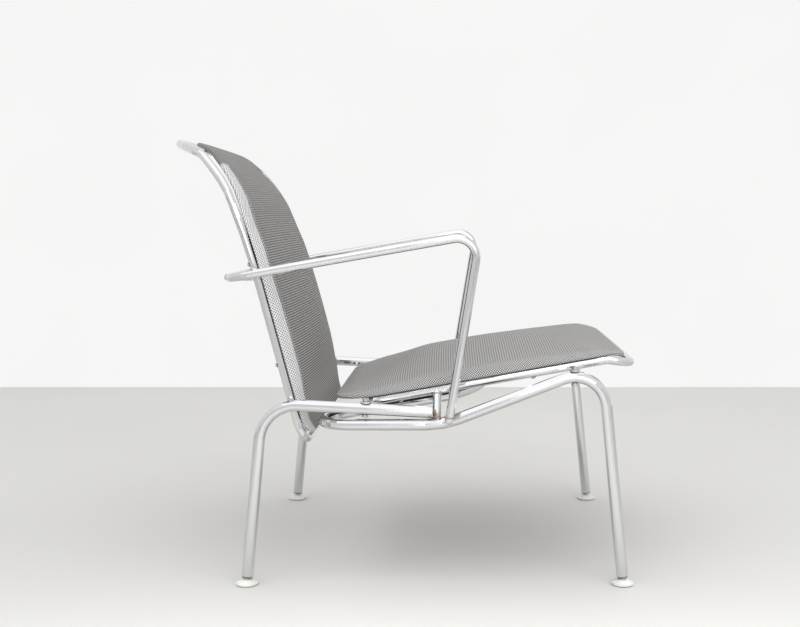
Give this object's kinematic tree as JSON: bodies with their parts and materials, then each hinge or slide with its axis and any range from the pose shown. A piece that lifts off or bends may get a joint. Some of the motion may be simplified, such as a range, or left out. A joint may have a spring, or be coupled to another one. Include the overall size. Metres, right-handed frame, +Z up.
{
  "type": "lounge chair",
  "caption": "Low lounge chair: bent chrome tube base and arm hoop, with a tilted padded seat and a padded back that curls rearward at its top.",
  "frame": {"origin": "middle of the bounding box, on the floor under the glides", "axes": "+Z up, the sitter faces -Y and the sitter's right hand is at -X"},
  "size_m": [0.6206, 0.8378, 0.7771],
  "materials": {
    "chrome_tube": "polished",
    "zinc_fasteners": "satin zinc",
    "plywood": "raw",
    "woven_fabric": "two-tone weave",
    "glide_plastic": "satin",
    "insert_plastic": "satin"
  },
  "bodies": {
    "chair": {"arm_hoop": "chrome_tube", "arm_screw_L": "zinc_fasteners", "arm_screw_R": "zinc_fasteners", "arm_spacer_L": "chrome_tube", "arm_spacer_R": "chrome_tube", "back_board": "plywood", "back_frame": "chrome_tube", "back_pad": "woven_fabric", "back_screw_L": "zinc_fasteners", "back_screw_R": "zinc_fasteners", "back_spacer_L": "chrome_tube", "back_spacer_R": "chrome_tube", "foot_insert_front_L": "insert_plastic", "foot_insert_front_R": "insert_plastic", "foot_insert_rear_L": "insert_plastic", "foot_insert_rear_R": "insert_plastic", "front_hoop": "chrome_tube", "glide_stem_front_L": "glide_plastic", "glide_stem_front_R": "glide_plastic", "glide_stem_rear_L": "glide_plastic", "glide_stem_rear_R": "glide_plastic", "lug_bolt_front_L": "zinc_fasteners", "lug_bolt_front_R": "zinc_fasteners", "lug_bolt_rear_L": "zinc_fasteners", "lug_bolt_rear_R": "zinc_fasteners", "lug_nut_front_L": "zinc_fasteners", "lug_nut_front_R": "zinc_fasteners", "lug_nut_rear_L": "zinc_fasteners", "lug_nut_rear_R": "zinc_fasteners", "rear_leg_L": "chrome_tube", "rear_leg_R": "chrome_tube", "rest_screw_L1": "zinc_fasteners", "rest_screw_L2": "zinc_fasteners", "rest_screw_R1": "zinc_fasteners", "rest_screw_R2": "zinc_fasteners", "seat_board": "plywood", "seat_frame": "chrome_tube", "seat_pad": "woven_fabric", "seat_screw_L1": "zinc_fasteners", "seat_screw_L2": "zinc_fasteners", "seat_screw_R1": "zinc_fasteners", "seat_screw_R2": "zinc_fasteners", "seat_stay_L": "chrome_tube", "seat_stay_R": "chrome_tube"},
    "glide_front_R": {"glide_disc_front_R": "glide_plastic"},
    "glide_front_L": {"glide_disc_front_L": "glide_plastic"},
    "glide_rear_R": {"glide_disc_rear_R": "glide_plastic"},
    "glide_rear_L": {"glide_disc_rear_L": "glide_plastic"}
  },
  "joints": [
    {"name": "glide_front_R_tilt", "type": "hinge", "parent": "chair", "child": "glide_front_R", "pos_m": [-0.285, -0.39349, 0.007], "axis": [1, 0, 0], "range_deg": [-10, 10]},
    {"name": "glide_front_L_tilt", "type": "hinge", "parent": "chair", "child": "glide_front_L", "pos_m": [0.285, -0.39349, 0.007], "axis": [1, 0, 0], "range_deg": [-10, 10]},
    {"name": "glide_rear_R_tilt", "type": "hinge", "parent": "chair", "child": "glide_rear_R", "pos_m": [-0.285, 0.25668, 0.007], "axis": [1, 0, 0], "range_deg": [-10, 10]},
    {"name": "glide_rear_L_tilt", "type": "hinge", "parent": "chair", "child": "glide_rear_L", "pos_m": [0.285, 0.25668, 0.007], "axis": [1, 0, 0], "range_deg": [-10, 10]}
  ]
}
